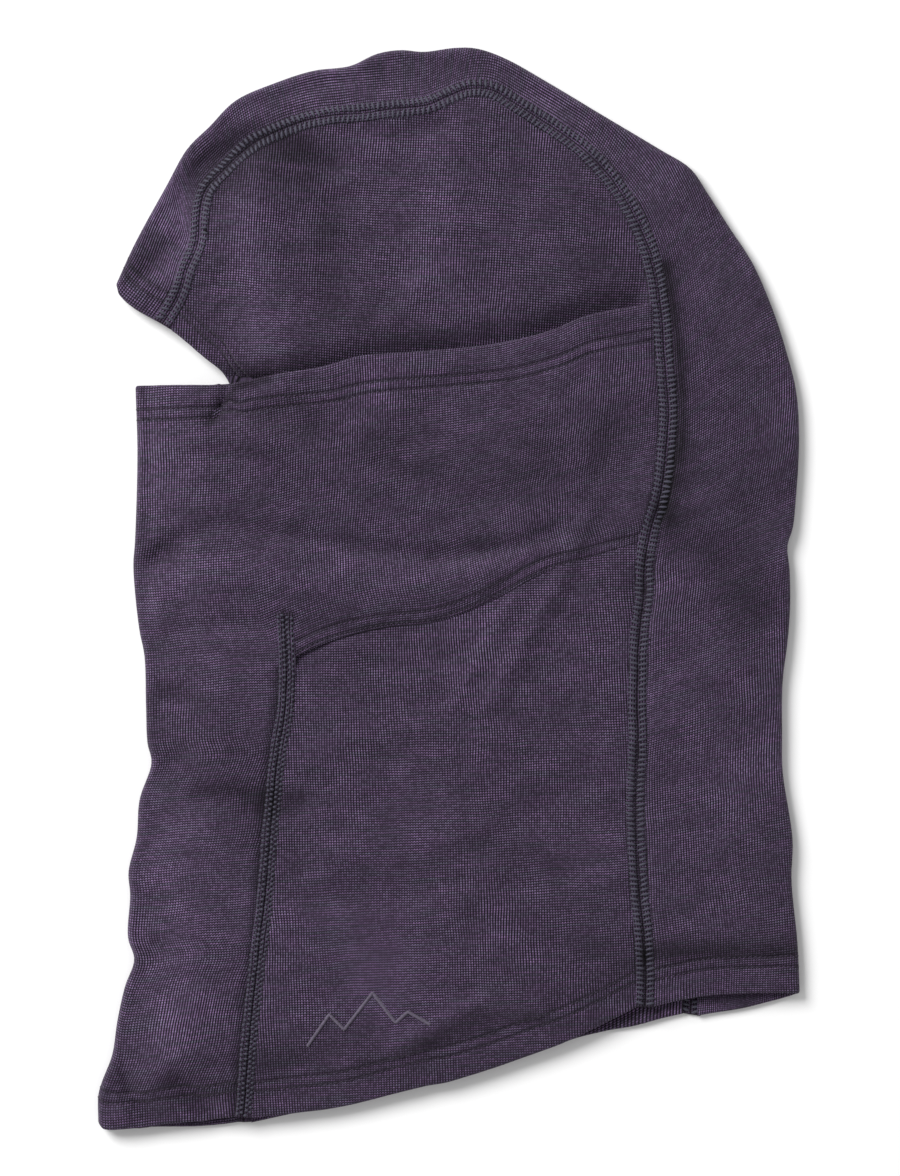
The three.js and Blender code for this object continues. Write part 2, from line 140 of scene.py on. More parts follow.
outline = dict(
    back=[(-123, 112.7), (-116.4, 127.1), (-104.5, 148.9), (-96.8, 162.6), (-88.6, 170.8), (-79, 180.4),
          (-64.2, 187), (-50.1, 191.5), (-36.4, 193.3), (-26.5, 197.8), (-17.6, 199.2), (-9.4, 198.5),
          (2.4, 200), (10.2, 199.8), (20.5, 196.3), (38.3, 186.3), (56.1, 175.6), (77.9, 162.6), (89.7, 155.2),
          (95.6, 146.7), (103.8, 133.8), (112.7, 120.1), (120.4, 102.3), (125.2, 87.5), (128.9, 72.3),
          (129.9, 54.6), (128.6, 31.3), (127.5, 21.6), (125.6, 15.7), (126.4, 6.5), (126.6, -6.5),
          (125.6, -20.5), (123.8, -35), (123.6, -54.6), (123.8, -67.9), (127.5, -93.4), (127.1, -107.9),
          (129.3, -131.2), (130.1, -149.3)],
    front=[(-116, 73.8), (-115.3, 50.1), (-116.2, 17.2), (-116.8, 8.7), (-116.2, -1.7), (-114.5, -16.1),
           (-112.7, -25.3), (-112.1, -44.2), (-111.6, -57.5), (-110.1, -64.9), (-114.5, -78.6), (-115.6, -92.7),
           (-118.6, -105.3), (-118, -113.8), (-118.8, -129.7), (-116.5, -137.8), (-119.9, -147.8),
           (-122.7, -160.4), (-124.7, -173.3), (-128.4, -183), (-129.8, -188.1), (-129.8, -197.8)],
    crown=[(-105.6, 98.2), (-103.8, 101.2), (-99.7, 108.2), (-96.8, 117.1), (-92.7, 127.1), (-91.8, 137.1),
           (-89.7, 146.7), (-82.7, 154.8), (-73.1, 163.7), (-62, 169.1), (-47.2, 173.7), (-27.2, 176), (-7.6, 178.2),
           (-2.4, 180.4), (7.2, 184.3), (15.4, 184.1), (25.3, 178.5), (40.1, 169.1), (50.1, 161.7),
           (60.1, 150.8), (67.9, 138.9), (73.8, 124.9), (76.8, 112.1), (78.8, 97.1), (79.8, 82.3), (81, 67.5),
           (80.8, 58.3), (79.8, 45.3), (77.5, 31.3), (74.2, 19.8), (72.3, 7.6), (72.3, -1.7), (70.5, -16.1),
           (69.9, -30.2), (69.6, -44.2), (69.9, -55.7), (69, -74.6), (69.3, -93.4), (70.5, -112.3),
           (71.8, -126.7), (72.7, -140.8), (72.7, -154.4)],
    throat=[(-60.5, -9.2), (-59.6, -25.3), (-60.2, -44.2), (-62.9, -60.9), (-65.7, -89.4), (-68.4, -121.2),
            (-71, -142.6), (-73.7, -168.9), (-75.8, -195.3)],
    face=[(-123, 112.7), (-121.5, 109.2), (-116.4, 104.5), (-102.7, 96.4), (-90.8, 86.4), (-83.8, 80.5),
          (-80.3, 75), (-70, 52), (-63, 20), (-57, -8), (-53.6, -27.8)],
    maskEdge=[(-116, 73.8), (-100, 74.4), (-80.3, 75.6), (-67, 78.4), (-47.2, 82), (-32.4, 86.4), (-7.6, 89),
              (19.1, 92.3), (40.1, 98.2), (50.1, 102.7), (76, 108.6)],
    chin=[(-55, -28.5), (-36.4, -18.7), (-17.6, -13.5), (1.3, -10.8), (19.1, -3.1), (38.3, 8.1), (53.5, 12.8),
          (72, 18.5)],
    hem=[(-129.8, -197.8), (-127.8, -199.6), (-102.3, -197.8), (-77.9, -195.5), (-56.8, -193.3),
         (-40.9, -191.4), (-9.1, -183.9), (0.6, -182.2), (28.7, -173.3), (47.5, -166.3), (62, -159.1),
         (72.3, -154.4), (80.8, -152.1), (94.9, -149.7), (113.8, -149), (127.1, -149.2), (130.1, -149.3)],
)
back, front, crown, throat, face, maskEdge, chin, hem = (
    smoothLine(fromPattern(line)) for line in outline.values())
ear = fromPattern((74.5, 104.5))

# ---- heights, kept as maps with a point every millimetre ----

gridX, gridY = np.arange(-150.0, 151.0), np.arange(-225.0, 226.0)
mapX, mapY = np.meshgrid(gridX, gridY)


def distanceMap(points, signed=False):
    line = np.asarray(points, float)
    line = evenly(line, max(2, min(90, int(reach(line) / 5))))
    best = np.full(mapX.shape, 1e9)
    side = np.zeros(mapX.shape)
    for a, b in zip(line, line[1:]):
        ab = b - a
        t = np.clip(((mapX - a[0]) * ab[0] + (mapY - a[1]) * ab[1]) / max(ab @ ab, 1e-9), 0, 1)
        dx, dy = mapX - a[0] - t * ab[0], mapY - a[1] - t * ab[1]
        d = np.hypot(dx, dy)
        cross = ab[0] * dy - ab[1] * dx
        side = np.where(d < best, cross, side)
        best = np.minimum(best, d)
    return best * np.where(side < 0, -1, 1) if signed else best


def sample(field, x, y):
    i = np.clip(np.asarray(x) - gridX[0], 0, len(gridX) - 1.001)
    j = np.clip(np.asarray(y) - gridY[0], 0, len(gridY) - 1.001)
    i0, j0 = i.astype(int), j.astype(int)
    fi, fj = i - i0, j - j0
    top = field[j0, i0] * (1 - fi) + field[j0, i0 + 1] * fi
    return top * (1 - fj) + (field[j0 + 1, i0] * (1 - fi) + field[j0 + 1, i0 + 1] * fi) * fj


def ease(x, low, high):
    t = np.clip((x - low) / (high - low), 0, 1)
    return t * t * (3 - 2 * t)


def blurred(field, reachMm):
    kernel = np.exp(-0.5 * (np.arange(-3 * reachMm, 3 * reachMm + 1) / reachMm) ** 2)
    kernel /= kernel.sum()
    for axis in (0, 1):
        field = np.apply_along_axis(lambda row: np.convolve(np.pad(row, 3 * reachMm, "edge"), kernel, "valid"),
                                    axis, field)
    return field


def roughField(seed, along, across, turn=0.0):  # smooth random waves, longer one way than the other
    random = np.random.default_rng(seed)
    c, s = math.cos(turn), math.sin(turn)
    total = np.zeros(mapX.shape)
    for k in range(26):
        angle, phase = random.uniform(0, 2 * math.pi), random.uniform(0, 2 * math.pi)
        pitch = random.uniform(0.6, 1.8)
        u = (mapX * c + mapY * s) / along * math.cos(angle) * pitch
        v = (-mapX * s + mapY * c) / across * math.sin(angle) * pitch
        total += np.sin(2 * math.pi * (u + v) + phase)
    return total / math.sqrt(26)


cloth = dict(thick=0.85, foldHalf=2.9, plateau=12.2, climb=30.0, maskLift=1.05, foldGain=1.75, maskRoom=5.6,
             lowestHood=2.1, unmarked=60.0)  # unmarked is the stitch distance where no stitches run

# Folds and dents in the cloth: how wide each is, how high, and the line it runs along, all in millimetres.
folds = [
    (10, 1.7, [(-72, 140), (-70, 117), (-66, 88)]),
    (9, -0.8, [(-44, 150), (-42, 126), (-43, 106)]),
    (12, 1.3, [(3, 158), (0, 128), (-3, 104)]),
    (3.5, 0.9, [(-10, 112), (-21, 97)]),
    (3.5, 0.9, [(-8, 112), (12, 98)]),
    (6, -1.9, [(-92, 156), (-69, 165), (-44, 156)]),
    (4, -1.1, [(-38, 170), (-18, 168), (-3, 170)]),
    (3.4, -1.5, [(-114, 9), (-98, 18), (-82, 24), (-44, 17), (-7, 11), (23, 14), (39, 20)]),
    (7.5, 1.3, [(-110, -5), (-81, 5), (-47, 1), (-10, 0), (12, 4), (27, 11)]),
    (3.6, -0.8, [(-110, -16), (-62, -13), (-29, -16), (-3, -14), (16, -6), (32, 10)]),
    (3.6, 1.0, [(64, 50), (41, 2), (17, -40)]),
    (3, 0.7, [(30, 6), (14, -22), (2, -44)]),
    (5, 0.8, [(-77, 58), (-18, 36), (27, 19)]),
    (4, -0.6, [(-70, 66), (-30, 52), (10, 30)]),
    (5, -1.2, [(-90, -77), (-71, -79), (-55, -81)]),
    (7, -1.5, [(79, 25), (90, 16), (99, 8)]),
    (5, -0.7, [(104, -6), (127, -13)]),
    (6, 0.9, [(85, 30), (104, 22), (126, 14)]),
    (5, -1.2, [(82, 28), (86, 15)]),
    (3, 1.2, [(-20, -171), (-3, -161), (16, -151), (34, -155)]),
    (3, -0.8, [(-6, -170), (14, -160), (34, -163)]),
    (3, -1.8, [(-122, -180), (-112, -197)]),
    (3, -1.8, [(-101, -181), (-88, -196)]),
    (4, -1.0, [(-66, -178), (-46, -175)]),
    (3.2, -1.5, [(74, -137), (128, -136)]),
    (6, -0.8, [(-38, -112), (0, -98), (48, -72)]),
    (6, 0.7, [(-58, -122), (-20, -124), (14, -112)]),
    (5, -0.5, [(-54, -34), (-20, -26), (12, -24)]),
    (7, 0.5, [(-50, -62), (-16, -52), (20, -60)]),
    (7, -0.8, [(62, 54), (55, 28), (46, 8)]),
    (4, -1.0, [(71, -1), (71, -10)]),
    (3, -1.2, [(-118, 9), (-100, 12)]),
    (3, -0.9, [(-114, -38), (-96, -41)]),
    (3.5, -1.1, [(-112, -64), (-98, -62)]),
    (3, -0.8, [(-118, -112), (-104, -116)]),
    (3, -0.9, [(-119, -137), (-106, -134)]),
    (5, 0.7, [(-44, -100), (-8, -96), (18, -88)]),
    (2.4, -1.0, [(-78.5, 73.5), (-71, 76), (-65, 77)]),
    (4, -0.8, [(-66, 62), (-58, 66), (-48, 62)]),
    (5, -0.7, [(-30, -118), (4, -110), (40, -108)]),
    (6, -0.8, [(10, -96), (40, -104), (62, -120)]),
    (5, -1.0, [(-100, 128), (-112, 118)]),
    (4, -1.0, [(-108, 152), (-99, 143)]),
    (4, -1.0, [(-30, 198), (-24, 186)]),
    (7, -0.7, [(100, -40), (116, -60)]),
]
relief = np.zeros(mapX.shape)
for width, height, line in folds:
    relief += cloth["foldGain"] * height * np.exp(-(distanceMap(line) / width) ** 2)
# Painted shade and painted highlight: lighter and darker strokes that are painted into the cloth's colour where folds
# and seams fall into shade or catch the light: width, tone and line. They stay put under any light and in any pose.
paintedShades = [
    (8, -1.0, [(-90, 153), (-76, 164), (-56, 168)]),
    (11, -0.95, [(-84, 150), (-56, 154)]),
    (9, 0.75, [(-74, 134), (-66, 96)]),
    (7, -0.35, [(-46, 142), (-42, 112)]),
    (7, -0.5, [(-44, 104), (-22, 99)]),
    (15, 0.4, [(-22, 152), (-8, 130), (30, 136)]),
    (12, -0.45, [(50, 130), (58, 104)]),
    (6, -0.3, [(-60, 192), (-20, 190), (20, 190)]),
    (6, 0.6, [(-104, 150), (-92, 156)]),
    (12, -0.4, [(106, 30), (112, 4)]),
    (6, -0.8, [(-115, 117), (-108, 128)]),
    (5, 0.8, [(-104, 142), (-99, 128)]),
    (3.2, -2.2, [(80.5, 118), (85.5, 84), (85.5, 54), (79.5, 26)]),
    (11, -0.55, [(86, 44), (92, 22), (98, 12)]),
    (5, -0.3, [(108, -10), (126, -13)]),
    (17, -0.55, [(-76, 60), (-40, 52), (-6, 46), (30, 46), (60, 62)]),
    (10, 0.2, [(-106, 66), (-104, 34)]),
    (5, -0.3, [(-64, -12), (-30, -15), (-6, -15)]),
    (8, 0.2, [(-100, -2), (-70, 4)]),
    (9, -0.4, [(10, -120), (40, -128), (62, -136)]),
    (14, 0.6, [(-104, -108), (-100, -165)]),
    (12, 0.3, [(-62, -150), (-16, -148)]),
    (14, 0.3, [(100, -36), (105, -84)]),
    (5, -0.8, [(-88, -76), (-60, -80)]),
    (5, -0.6, [(-104, -38), (-92, -41)]),
    (6, -0.4, [(58, 60), (52, 25), (40, -8)]),
    (3, -0.7, [(-34, -178), (4, -166), (30, -160)]),
    (5, -0.35, [(-104, -176), (-60, -172), (-30, -166)]),
    (9, 0.4, [(-60, -130), (-20, -130), (20, -128)]),
    (13, 0.4, [(108, -30), (108, -120)]),
    (5, 0.5, [(-98, 172), (-88, 182), (-66, 189)]),
    (5, -1.0, [(74, -135), (127, -134)]),
    (4, -0.6, [(-116, -184), (-80, -187)]),
    (12, -0.35, [(-104, -50), (-76, -62), (-72, -84)]),
    # dark lines down the crown seam in the neck and down the throat seam: the seams' own dark, and painted shade in
    # their grooves
    (1.7, -1.5, stretch(crown, nearest(crown, (72, 12)), 1)),
    (1.6, -1.3, throat),
    (2.2, -1.5, [(-79, 74), (-73, 76), (-67, 77)]),
    (1.7, -1.7, [(-80.5, 71), (-84, 65), (-87.5, 61)]),
    (3, 0.35, [(-62, 79), (-20, 87), (30, 94)]),
    (4, 0.4, [(-86, 74), (-92, 71)]),
]
# Painted shade in the folds' hollows and painted highlight on their ridges, taken from the relief.
paintedShadeMap = 0.3 * np.clip(relief / 2.0, -1.5, 1.5)
for width, paintedShadeTone, line in paintedShades:
    paintedShadeMap += paintedShadeTone * np.exp(-(distanceMap(line) / width) ** 2)
paintedShadeMap += 0.16 * roughField(31, 34, 9) + 0.1 * roughField(32, 60, 30, 0.5)
relief += 0.28 * roughField(4, 55, 16) + 0.16 * roughField(9, 16, 9, 0.4) + 0.07 * roughField(2, 6, 4)

foldDistance = np.minimum(distanceMap(back), distanceMap(front))
hemDistance = distanceMap(hem)
faceSeen = distanceMap(stretch(face, 0, nearest(face, maskEdge[int(0.18 * len(maskEdge))])))
belowMaskEdge = -distanceMap(maskEdge, signed=True)  # positive on the mask
belowChin = -distanceMap(chin, signed=True)
pastEar = distanceMap(crown, signed=True)  # positive behind the crown seam

edgeDistance = np.minimum(np.minimum(foldDistance, hemDistance + 3), faceSeen + 3)
high = cloth["plateau"] - 2 * cloth["foldHalf"]
shellTop = 2 * cloth["foldHalf"] + high * ease(edgeDistance, 0, cloth["climb"]) + relief * ease(edgeDistance, 0, 9)
shellTop = blurred(shellTop, 1)
underMask = ease(belowMaskEdge, -8, 3) * ease(-pastEar, 2, 9)
hoodTop = shellTop - cloth["maskRoom"] * underMask
pastThroat = distanceMap(np.vstack([throat[0] + [0, 60], throat]), signed=True)  # positive on the neck's side
liftShare = ease(pastThroat, -2, 9)
liftShare = liftShare * ease(belowChin, 0, -14) + (1 - liftShare) * ease(mapY, -80, -5)
maskTop = shellTop + cloth["maskLift"] * liftShare - 0.6 * ease(belowChin, 1.2, 3) * ease(pastThroat, 1, 4)
maskTop -= 0.9 * ease(distanceMap(face, signed=True), -2, 14) * ease(belowChin, -4, -14)
maskTop += 0.6 * np.exp(-((belowMaskEdge - 6) / 6) ** 2)
pleat = fromPattern([(-79.8, 82), (-80.6, 76), (-82.5, 68.2), (-84.1, 64), (-88.3, 59.2), (-94, 54)])
pleatSide = -distanceMap(pleat, signed=True)
pleatReach = np.exp(-(distanceMap(pleat[:-1]) / 9) ** 2) * ease(mapY, 56, 66)
maskTop += pleatReach * (0.8 * ease(-pleatSide, -1.0, 1.0) - 0.5)
maskTop -= 3.2 * np.exp(-((pleatSide - 1.2) / 1.3) ** 2) * ease(mapY, 57, 66) * ease(mapY, 84, 78)

# The right half, underneath: its lift off the floor, and how far it slips back at the nape and down in front.
lower = dict(lift=0.3, seamLift=0.7, maskGap=0.45, rough=0.35, slip=17, slipAt=73, slipHalf=52, drop=2.4, dropAt=-85,
             dropHalf=35)
seamTop = blurred(np.maximum(shellTop, np.where(pastEar < 0, hoodTop, shellTop)), 1) - 0.1
lowerSeams = np.minimum(distanceMap(crown), distanceMap(throat))
lowerLift = lower["lift"] + lower["seamLift"] * np.exp(-(lowerSeams / 5) ** 2)
lowerLift += (cloth["thick"] + lower["maskGap"]) * ease(belowMaskEdge, -10, -3) * ease(belowChin, 20, 6) * ease(
    -pastEar, -6, 4)
lowerRough = lower["rough"] * roughField(21, 40, 30) ** 2 * ease(edgeDistance, 2, 14)
rearDrop = smoothLine([(36, 0), (48, 0.4), (58.5, 3.2), (70.5, 6.8), (81.6, 7.2), (95.5, 6.7), (109.4, 5.5),
                       (120, 3.2), (131, 0)])


def hemAt(x):
    return np.interp(x, hem[:, 0], hem[:, 1])


def lowerPlace(x, y):  # where the right half lies under the left one
    above = sample(hemDistance, x, y)
    slip = np.clip(1 - ((x - lower["slipAt"]) / lower["slipHalf"]) ** 2, 0, 1) ** 2
    newX = x + lower["slip"] * slip * ease(above, 130, 0)
    drop = np.interp(newX, rearDrop[:, 0], rearDrop[:, 1], 0, 0)
    drop += lower["drop"] * np.clip(1 - ((x - lower["dropAt"]) / lower["dropHalf"]) ** 2, 0, 1) ** 2
    return newX, y + (hemAt(newX) - hemAt(x) - drop) * ease(above, 70, 0)


print("heights mapped")

# ---- sheets of cloth ----
# A sheet is a grid of points of its outer face, rows down the garment, with the outside on the viewer's side when
# columns run to the right. Each point holds x, y, z, then the knit's u and v, then its distance to the stitch lines.

def mixPlan(left, right, top, bottom, s, v):
    left, right = at(left, v), at(right, v)
    upper = at(pinned(top, left[0], right[0]), s) if top is not None else None
    lower = at(pinned(bottom, left[-1], right[-1]), s) if bottom is not None else None
    sides = left[:, None] * (1 - s)[None, :, None] + right[:, None] * s[None, :, None]
    ends = 0
    vv = v[:, None, None]
    if upper is not None:
        ends = ends + (upper - sides[0])[None] * (1 - vv)
    if lower is not None:
        ends = ends + (lower - sides[-1])[None] * vv
    return sides + ends


def mixRows(left, right, share, low=None):
    plan = left[:, None] * (1 - share[..., None]) + right[:, None] * share[..., None]
    if low is not None:
        bend = at(pinned(low, left[-1], right[-1]), share[-1]) - plan[-1]
        plan = plan + bend[None] * np.linspace(0, 1, len(left))[:, None, None] ** 2
    return plan


def flatSheet(plan, heights, upper=True, turn=0.0):
    x, y = plan[..., 0], plan[..., 1]
    u, v = x * math.cos(turn) + y * math.sin(turn), -x * math.sin(turn) + y * math.cos(turn)
    if not upper:
        x, y = lowerPlace(x, y)
    grid = np.stack([x, y, heights(x, y), u, v, np.full(x.shape, cloth["unmarked"])], -1)
    return grid if upper else grid[:, ::-1]


def foldedSheet(plan, distances, heightsTop, heightsLow, foldAtRight):
    # plan: rows by columns from the fold inwards; the first columns lie within the fold's round
    half = cloth["foldHalf"]
    x, y = plan[..., 0], plan[..., 1]
    rounding = np.sqrt(np.clip(1 - (1 - np.clip(distances / half, 0, 1)) ** 2, 0, 1))
    top = heightsTop(x, y)
    lift = ease(distances, half, half + 6)
    zTop = half + half * rounding + (top - 2 * half) * lift
    lx, ly = lowerPlace(x, y)
    zLow = np.maximum(half - half * rounding + heightsLow(lx, ly) * lift, 0.15)
    arc = np.where(distances < half, half * np.arccos(np.clip(1 - distances / half, -1, 1)),
                   distances + half * (math.pi / 2 - 1))
    along = np.r_[0, np.cumsum(np.linalg.norm(np.diff(plan[:, 0], axis=0), axis=1))][:, None] + 0 * x
    stitches = np.full(x.shape, cloth["unmarked"])
    upperHalf = np.stack([x, y, zTop, arc, -along, stitches], -1)
    lowerHalf = np.stack([lx, ly, zLow, -arc, -along, stitches], -1)
    if foldAtRight:  # from the upper half's inner edge, round the fold, to the lower half's
        upperHalf[..., 3] *= -1
        lowerHalf[..., 3] *= -1
        return np.concatenate([upperHalf[:, :0:-1], lowerHalf], 1)
    return np.concatenate([lowerHalf[:, :0:-1], upperHalf], 1)


def foldColumns(width, columns):
    half = cloth["foldHalf"]
    inFold = half * (1 - np.cos(np.radians([0, 22, 45, 68, 90])))
    t = np.linspace(0, 1, columns + 1)[1:]
    return np.r_[inFold, half + (width - half) * (0.55 * t + 0.45 * t ** 2)]


def normalsOf(grid):
    return unit(np.cross(np.gradient(grid[..., :3], axis=0), np.gradient(grid[..., :3], axis=1)))


def turned(stack, side, undo=False):  # with the edge on that side as the last row
    if side == "top":
        return stack[::-1]
    if side == "left":
        return stack[::-1].transpose(1, 0, 2) if undo else stack.transpose(1, 0, 2)[::-1]
    if side == "right":
        return stack.transpose(1, 0, 2)
    return stack


def reachDown(rows):  # how far each point is from the first row, along the cloth
    steps = np.linalg.norm(np.diff(rows[..., :3], axis=0), axis=-1)
    return np.concatenate([np.zeros((1, steps.shape[1])), np.cumsum(steps, 0)])


def insideEdge(stack, distance):  # the row of points at a distance in from the last row
    rows = stack[::-1]
    reached = reachDown(rows)
    found = np.empty(rows.shape[1:])
    for c in range(rows.shape[1]):
        for k in range(rows.shape[2]):
            found[c, k] = np.interp(distance if np.isscalar(distance) else distance[c], reached[:, c], rows[:, c, k])
    return found


def stitchDistance(grid, side, middle):  # marks the distance to a line of stitches inside an edge
    stack = turned(grid, side)
    offset = reachDown(stack[::-1])[::-1] - middle
    nearer = np.abs(offset) < np.abs(stack[..., 5])
    stack[..., 5] = np.where(nearer, offset, stack[..., 5])
    return turned(stack, side, undo=True)


hems = dict(depth=11.5, gap=0.12, needles=3.9, neckInset=11.0, faceInset=8.5,
            maskInset=[(-116, 9.9), (-86, 10.2), (-74, 9.2), (-60, 10.2), (-30, 11.6), (40, 11.2), (75, 10.8)])


def maskInset(grid):
    known = np.array(hems["maskInset"])
    return np.interp(grid[0, :, 0], known[:, 0], known[:, 1])


def hemmed(grid, side, depth=hems["depth"]):  # turns the cloth beyond an edge over to the inside
    stack = turned(np.concatenate([grid, normalsOf(grid)], -1), side)
    edge, before = stack[-1], stack[-2]
    step = edge[:, :3] - before[:, :3]
    outward = unit(step)
    knit = (edge[:, 3:5] - before[:, 3:5]) / np.maximum(np.linalg.norm(step, axis=1), 1e-9)[:, None]
    radius = cloth["thick"] + hems["gap"]
    added = []
    for angle in np.radians([35, 70, 110, 145, 180]):
        row = edge.copy()
        row[:, :3] += outward * radius * math.sin(angle) - edge[:, 6:] * radius * (1 - math.cos(angle))
        row[:, 3:5] += knit * radius * angle
        row[:, 5] = cloth["unmarked"]
        added.append(row)
    for distance in (2, 5, 8.5, depth):
        row = insideEdge(stack, distance)
        row[:, :3] -= row[:, 6:] * 2 * radius
        row[:, 3:5] = edge[:, 3:5] + knit * (radius * math.pi + distance)
        row[:, 5] = cloth["unmarked"]
        added.append(row)
    stack = np.concatenate([stack, np.array(added)])
    return turned(stack, side, undo=True)[..., :6]


def sheetPiece(name, grid, material, thick=cloth["thick"], also=None):  # also is a second grid, joined to the first
    bm = bmesh.new()
    uvLayer = bm.loops.layers.uv.new("knit")
    lineLayer = bm.verts.layers.float.new("stitchLine")
    shadeLayer = bm.verts.layers.float.new("shade")
    for part in (grid,) if also is None else (grid, also):
        rows, columns = part.shape[:2]
        new = bmesh.ops.create_grid(bm, x_segments=columns - 1, y_segments=rows - 1, size=1)["verts"]
        held = {vert: part[round((1 - vert.co.y) / 2 * (rows - 1)), round((vert.co.x + 1) / 2 * (columns - 1))]
                for vert in new}
        for f in {f for vert in new for f in vert.link_faces}:
            f.smooth = True
            for loop in f.loops:
                loop[uvLayer].uv = held[loop.vert][3:5] * 0.001
        for vert, values in held.items():
            vert.co = Vector(values[:3] * 0.001)
            vert[lineLayer] = values[5]
            vert[shadeLayer] = float(sample(paintedShadeMap, values[0], values[1]))
    if also is not None:
        bmesh.ops.remove_doubles(bm, verts=bm.verts, dist=2e-6)
    mesh = bpy.data.meshes.new(name)
    bm.to_mesh(mesh)
    bm.free()
    return placed(name, mesh, material, thick)


def placed(name, mesh, material, thick=0):
    piece = bpy.data.objects.new(name, mesh)
    bpy.context.scene.collection.objects.link(piece)
    mesh.materials.append(material)
    if thick:
        shell = piece.modifiers.new("thickness", "SOLIDIFY")
        shell.thickness = thick * 0.001
        shell.offset = -1
        shell.use_even_offset = False
    return piece


# ---- materials ----

def nodeTools(tree):
    def feed(socket, value):
        if isinstance(value, bpy.types.NodeSocket):
            tree.links.new(value, socket)
        else:
            socket.default_value = value

    def node(kind, **inputs):
        made = tree.nodes.new(kind)
        for key, value in inputs.items():
            if key in ("operation", "attribute_name"):
                setattr(made, key, value)
            else:
                feed(made.inputs[int(key[2:]) if key.startswith("in") else key.replace("_", " ")], value)
        return made

    def calc(operation, *values):
        made = tree.nodes.new("ShaderNodeMath")
        made.operation = operation
        for k, value in enumerate(values):
            feed(made.inputs[k], value)
        return made.outputs[0]

    def mixColour(factor, a, b, blend="MIX"):
        made = tree.nodes.new("ShaderNodeMix")
        made.data_type = "RGBA"
        made.blend_type = blend
        for index, value in ((0, factor), (6, a), (7, b)):
            feed(made.inputs[index], value)
        return made.outputs[2]

    return node, mixColour, calc, partial(calc, "ADD"), partial(calc, "SUBTRACT"), partial(calc, "MULTIPLY")


def knitGroup():
    tree = bpy.data.node_groups.new("knitSurface", "ShaderNodeTree")
    for name, kind in (("Stitch Wide", "NodeSocketFloat"), ("Stitch Tall", "NodeSocketFloat"),
                       ("Yarn", "NodeSocketColor"), ("Fleck", "NodeSocketColor"), ("Fleck Share", "NodeSocketFloat"),
                       ("Lightness", "NodeSocketFloat"), ("Wale Share", "NodeSocketFloat")):
        tree.interface.new_socket(name, in_out="INPUT", socket_type=kind)
    for name, kind in (("Color", "NodeSocketColor"), ("Height", "NodeSocketFloat")):
        tree.interface.new_socket(name, in_out="OUTPUT", socket_type=kind)
    node, mixColour, calc, plus, minus, times = nodeTools(tree)
    given = tree.nodes.new("NodeGroupInput").outputs
    result = tree.nodes.new("NodeGroupOutput")
    uv = node("ShaderNodeUVMap").outputs[0]
    uv.node.uv_map = "knit"
    wander = node("ShaderNodeTexNoise", Vector=uv, Scale=28.0, Detail=2.0).outputs["Color"]
    drift = node("ShaderNodeVectorMath", operation="SUBTRACT", in0=wander, in1=(0.5, 0.5, 0.5)).outputs[0]
    drift = node("ShaderNodeVectorMath", operation="SCALE", in0=drift, Scale=0.0032).outputs[0]
    bent = node("ShaderNodeVectorMath", operation="ADD", in0=uv, in1=drift).outputs[0]
    split = node("ShaderNodeSeparateXYZ", Vector=bent).outputs
    wale = calc("DIVIDE", split[0], given["Stitch Wide"])
    course = calc("DIVIDE", split[1], given["Stitch Tall"])
    aside = times(calc("ABSOLUTE", minus(calc("FRACT", wale), 0.5)), 2.0)
    leg = plus(course, times(aside, 0.45))
    along = times(calc("ABSOLUTE", minus(calc("FRACT", leg), 0.5)), 2.0)
    ridge = minus(1.0, calc("POWER", aside, 2.0))
    loop = minus(1.0, calc("POWER", along, 2.0))
    pull = node("ShaderNodeTexNoise", Vector=uv, Scale=16.0, Detail=1.0).outputs["Fac"]
    pull = plus(given["Wale Share"], times(minus(pull, 0.5), 1.9))
    pull = node("ShaderNodeClamp", Value=pull, Min=0.22, Max=0.85).outputs[0]
    height = plus(loop, times(minus(ridge, loop), pull))
    cell = node("ShaderNodeCombineXYZ", X=calc("FLOOR", wale), Y=calc("FLOOR", leg)).outputs[0]
    speck = node("ShaderNodeTexWhiteNoise", Vector=cell).outputs["Value"]
    streakAt = node("ShaderNodeCombineXYZ", X=times(wale, 0.05), Y=times(calc("FLOOR", leg), 0.73)).outputs[0]
    streak = node("ShaderNodeTexNoise", Vector=streakAt, Scale=1.0, Detail=2.0, Roughness=0.7).outputs["Fac"]
    cloud = node("ShaderNodeTexNoise", Vector=uv, Scale=34.0, Detail=3.0).outputs["Fac"]
    share = plus(times(minus(streak, 0.5), 2.2), times(speck, 0.26))
    bars = plus(1.0, times(minus(streak, 0.5), -0.55))
    share = plus(share, plus(given["Fleck Share"], -0.25))
    share = node("ShaderNodeClamp", Value=share).outputs[0]
    tint = mixColour(share, given["Yarn"], given["Fleck"])
    bright = plus(0.66, times(speck, 0.62))
    plain = node("ShaderNodeTexNoise", Vector=uv, Scale=95.0, Detail=2.0).outputs["Fac"]
    depth = node("ShaderNodeClamp", Value=times(minus(plain, 0.12), 1.9)).outputs[0]
    # Painted shade in the hollows between the loops: the colour darkens where the loops sit low.
    loopHollowShade = plus(-1.6, times(calc("POWER", height, 3.2), 4.9))
    bright = times(bright, plus(1.0, times(loopHollowShade, depth)))
    bright = times(bright, plus(0.86, times(cloud, 0.28)))
    bright = times(times(bright, bars), given["Lightness"])
    shade = node("ShaderNodeCombineXYZ", X=bright, Y=bright, Z=bright).outputs[0]
    tree.links.new(mixColour(1.0, tint, shade, "MULTIPLY"), result.inputs["Color"])
    lumpy = plus(height, times(minus(speck, 0.5), 0.3))
    tree.links.new(lumpy, result.inputs["Height"])
    return tree


